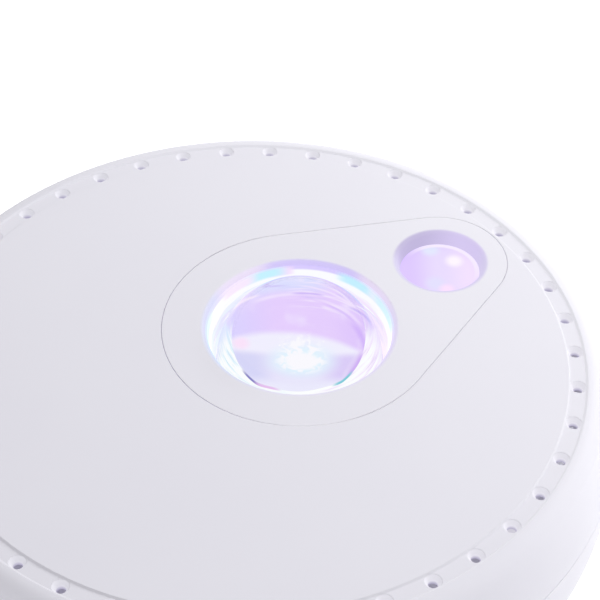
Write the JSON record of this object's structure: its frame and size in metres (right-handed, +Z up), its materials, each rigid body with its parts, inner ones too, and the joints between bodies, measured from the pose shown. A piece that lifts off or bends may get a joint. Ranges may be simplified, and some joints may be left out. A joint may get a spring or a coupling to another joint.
{
  "type": "star projector",
  "caption": "Round tabletop star and nebula projector: pebble-shaped head with an off-centre dome lens and a small laser window, tilting forward on a weighted round foot.",
  "frame": {"origin": "centre of the closed object's bounding box at the table plane, on the axis of the round face", "axes": "+Z up out of the round face, +X to the viewer's right and +Y away from the viewer in the picture; the tilt hinge is at -Y and the buttons and power socket are at +Y"},
  "size_m": [0.156, 0.156, 0.0738],
  "materials": {
    "lavender_white_abs": "satin",
    "panel_white_abs": "semi-gloss",
    "clear_acrylic": "polished",
    "frosted_acrylic": "frosted",
    "nebula_print": "polished",
    "white_nylon": "satin",
    "acetal_natural": "satin",
    "black_abs": "satin",
    "grey_rubber": "matte",
    "button_rubber": "matte",
    "zinc_steel": "bright",
    "ballast_steel": "dull",
    "die_cast_aluminium": "satin",
    "laser_brass": "machined",
    "motor_can": "satin",
    "green_board": "gloss mask",
    "white_led_board": "white mask",
    "led_phosphor": "matte",
    "component_black": "matte",
    "nickel_contact": "bright",
    "ptfe_washer": "matte",
    "lead_pvc": "satin"
  },
  "bodies": {
    "foot": {"foot_shell": "lavender_white_abs", "foot_plate": "lavender_white_abs", "ballast": "ballast_steel", "rubber_pads": "grey_rubber", "foot_screws": "zinc_steel", "rest_bumpers": "grey_rubber"},
    "head": {"top_cover": "lavender_white_abs", "lens_panel": "panel_white_abs", "lens_collar": "frosted_acrylic", "projection_lens": "clear_acrylic", "ripple_plate": "clear_acrylic", "optics_tower": "white_nylon", "laser_window": "frosted_acrylic", "optics_chassis": "white_nylon", "optics_screws": "zinc_steel", "collimator_lens": "clear_acrylic", "led_board": "white_led_board", "led_emitters": "led_phosphor", "heat_sink": "die_cast_aluminium", "heat_sink_screws": "zinc_steel", "laser_module": "laser_brass", "laser_driver_board": "green_board", "motor_body": "motor_can", "motor_screws": "zinc_steel", "main_board": "green_board", "board_screws": "zinc_steel", "board_chips": "component_black", "board_capacitors": "component_black", "board_connectors": "white_nylon", "lower_shell": "lavender_white_abs", "shell_screws": "zinc_steel", "control_plate": "panel_white_abs", "button_board": "green_board", "tact_switches": "component_black", "power_socket": "black_abs", "socket_nut": "black_abs", "socket_pin": "nickel_contact", "hinge_pins": "zinc_steel", "hinge_washers": "ptfe_washer", "motor_lead": "lead_pvc", "led_lead": "lead_pvc", "laser_lead": "lead_pvc", "socket_lead": "lead_pvc", "button_lead": "lead_pvc"},
    "nebula": {"nebula_wheel": "acetal_natural", "nebula_disc": "nebula_print"},
    "grating": {"grating_wheel": "acetal_natural", "grating_disc": "clear_acrylic"},
    "pinion": {"motor_pinion": "acetal_natural"},
    "power_key": {"power_button": "button_rubber"},
    "laser_key": {"laser_button": "button_rubber"},
    "motion_key": {"motion_button": "button_rubber"}
  },
  "joints": [
    {"name": "head_tilt", "type": "hinge", "parent": "foot", "child": "head", "pos_m": [0, -0.054, 0.0195], "axis": [1, 0, 0], "range_deg": [0, 60]},
    {"name": "nebula_spin", "type": "hinge", "parent": "head", "child": "nebula", "pos_m": [0.01082, 0.00907, 0.0377], "axis": [0, 0, 1], "continuous": true},
    {"name": "grating_spin", "type": "hinge", "parent": "head", "child": "grating", "pos_m": [0.0418, 0.02965, 0.0377], "axis": [0, 0, 1], "continuous": true},
    {"name": "pinion_spin", "type": "hinge", "parent": "head", "child": "pinion", "pos_m": [-0.01384, -0.00732, 0.0377], "axis": [0, 0, 1], "continuous": true},
    {"name": "power_press", "type": "slide", "parent": "head", "child": "power_key", "axis": [0.3333, -0.8251, 0.4563], "range_m": [0, 0.0006], "stiffness_N_per_m": 800},
    {"name": "laser_press", "type": "slide", "parent": "head", "child": "laser_key", "axis": [0.3333, -0.8251, 0.4563], "range_m": [0, 0.0006], "stiffness_N_per_m": 800},
    {"name": "motion_press", "type": "slide", "parent": "head", "child": "motion_key", "axis": [0.3333, -0.8251, 0.4563], "range_m": [0, 0.0006], "stiffness_N_per_m": 800}
  ],
  "couplings": [
    {"joint": "grating_spin", "follows": "nebula_spin", "ratio": -1.8182},
    {"joint": "pinion_spin", "follows": "nebula_spin", "ratio": -4.2857}
  ]
}
